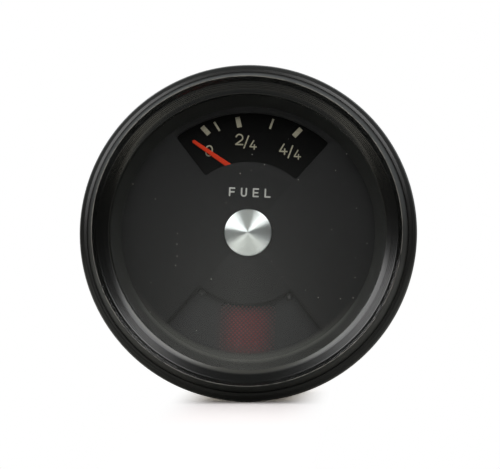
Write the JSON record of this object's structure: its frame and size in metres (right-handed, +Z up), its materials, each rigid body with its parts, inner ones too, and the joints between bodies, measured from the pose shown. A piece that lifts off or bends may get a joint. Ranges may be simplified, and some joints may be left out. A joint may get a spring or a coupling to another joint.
{
  "type": "car fuel gauge",
  "caption": "Round dashboard fuel gauge with a needle behind an arched window, a low fuel warning light, mounting studs with thumb nuts, terminals and pull-out lamps.",
  "frame": {"origin": "on the gauge's axis, in the plane where its seal ring meets the panel's front face", "axes": "+Y along the axis towards the back, so the dial faces -Y; +Z up; +X to the right as the dial is read"},
  "size_m": [0.086, 0.0648, 0.086],
  "materials": {
    "black_paint": "satin black",
    "seal_rubber": "matt",
    "clear_glass": "polished",
    "dark_plastic": "matt",
    "dial_paint": "matt dark grey",
    "turned_aluminium": "turned in fine rings",
    "zinc_steel": "zinc plated",
    "dial_print": "matt light grey print",
    "scale_paint": "matt black",
    "scale_print": "matt cream print",
    "brass_parts": "plain",
    "screen_plastic": "matt dark grey",
    "red_lens": "clear red",
    "white_plastic": "matt",
    "needle_paint": "satin orange-red",
    "stud_steel": "plated",
    "magnet_iron": "sintered",
    "coil_former": "moulded",
    "winding_wire": "enamelled copper wire",
    "resistor_ceramic": "fired",
    "lead_plastic": "sleeved",
    "case_steel": "zinc plated",
    "insulator_board": "pressed phenolic board",
    "red_plastic": "moulded",
    "bulb_metal": "plain"
  },
  "bodies": {
    "gauge": {"bezel_ring": "black_paint", "panel_seal": "seal_rubber", "glass_gasket": "seal_rubber", "front_glass": "clear_glass", "depth_ring": "dark_plastic", "dial_mask": "dial_paint", "centre_cap": "turned_aluminium", "cap_clip": "zinc_steel", "dial_letters": "dial_print", "scale_plate": "scale_paint", "scale_marks": "scale_print", "needle_stops": "brass_parts", "warning_screen": "screen_plastic", "screen_rivets": "screen_plastic", "red_filter": "red_lens", "lamp_tunnel": "white_plastic", "dial_carrier": "zinc_steel", "former_front": "coil_former", "former_rear": "coil_former", "empty_coil": "winding_wire", "full_coil": "winding_wire", "front_bearing": "brass_parts", "rear_bearing": "brass_parts", "magnetic_shield": "zinc_steel", "shield_screws": "stud_steel", "ballast_resistor": "resistor_ceramic", "resistor_ends": "zinc_steel", "resistor_clips": "brass_parts", "supply_lead": "lead_plastic", "sender_lead": "lead_plastic", "case_can": "case_steel", "terminal_plate": "insulator_board", "inner_insulator": "insulator_board", "supply_terminal": "brass_parts", "sender_terminal": "brass_parts", "earth_terminal": "zinc_steel", "terminal_rivets": "brass_parts", "mounting_studs": "stud_steel", "stud_sleeves": "zinc_steel", "stud_lock_nuts": "stud_steel"},
    "needle": {"pointer": "needle_paint", "pointer_hub": "dark_plastic", "spindle": "stud_steel", "rotor_magnet": "magnet_iron"},
    "left_washer": {"washer_left": "stud_steel"},
    "left_nut": {"thumb_nut_left": "brass_parts"},
    "right_washer": {"washer_right": "stud_steel"},
    "right_nut": {"thumb_nut_right": "brass_parts"},
    "dial_lamp": {"dial_lamp_holder": "white_plastic", "dial_lamp_lug": "brass_parts", "dial_bulb_cap": "bulb_metal", "dial_bulb_glass": "clear_glass"},
    "warning_lamp": {"warning_lamp_holder": "red_plastic", "warning_lamp_lug": "brass_parts", "warning_bulb_cap": "bulb_metal", "warning_bulb_glass": "clear_glass"}
  },
  "joints": [
    {"name": "needle_sweep", "type": "hinge", "parent": "gauge", "child": "needle", "pos_m": [0, 0, 0.0136], "axis": [0, 1, 0], "range_deg": [0, 108]},
    {"name": "left_nut_travel", "type": "slide", "parent": "gauge", "child": "left_washer", "axis": [0, 1, 0], "range_m": [0, 0.0098]},
    {"name": "left_nut_turn", "type": "hinge", "parent": "left_washer", "child": "left_nut", "pos_m": [-0.025, 0.0437, 0], "axis": [0, 1, 0], "range_deg": [0, 5040]},
    {"name": "right_nut_travel", "type": "slide", "parent": "gauge", "child": "right_washer", "axis": [0, 1, 0], "range_m": [0, 0.0098]},
    {"name": "right_nut_turn", "type": "hinge", "parent": "right_washer", "child": "right_nut", "pos_m": [0.025, 0.0437, 0], "axis": [0, 1, 0], "range_deg": [0, 5040]},
    {"name": "dial_lamp_pull", "type": "slide", "parent": "gauge", "child": "dial_lamp", "axis": [0, 1, 0], "range_m": [0, 0.024]},
    {"name": "warning_lamp_pull", "type": "slide", "parent": "gauge", "child": "warning_lamp", "axis": [0, 1, 0], "range_m": [0, 0.024]}
  ],
  "couplings": [
    {"joint": "left_nut_turn", "follows": "left_nut_travel", "rad_per_m": 8975.9},
    {"joint": "right_nut_turn", "follows": "right_nut_travel", "rad_per_m": 8975.9}
  ]
}
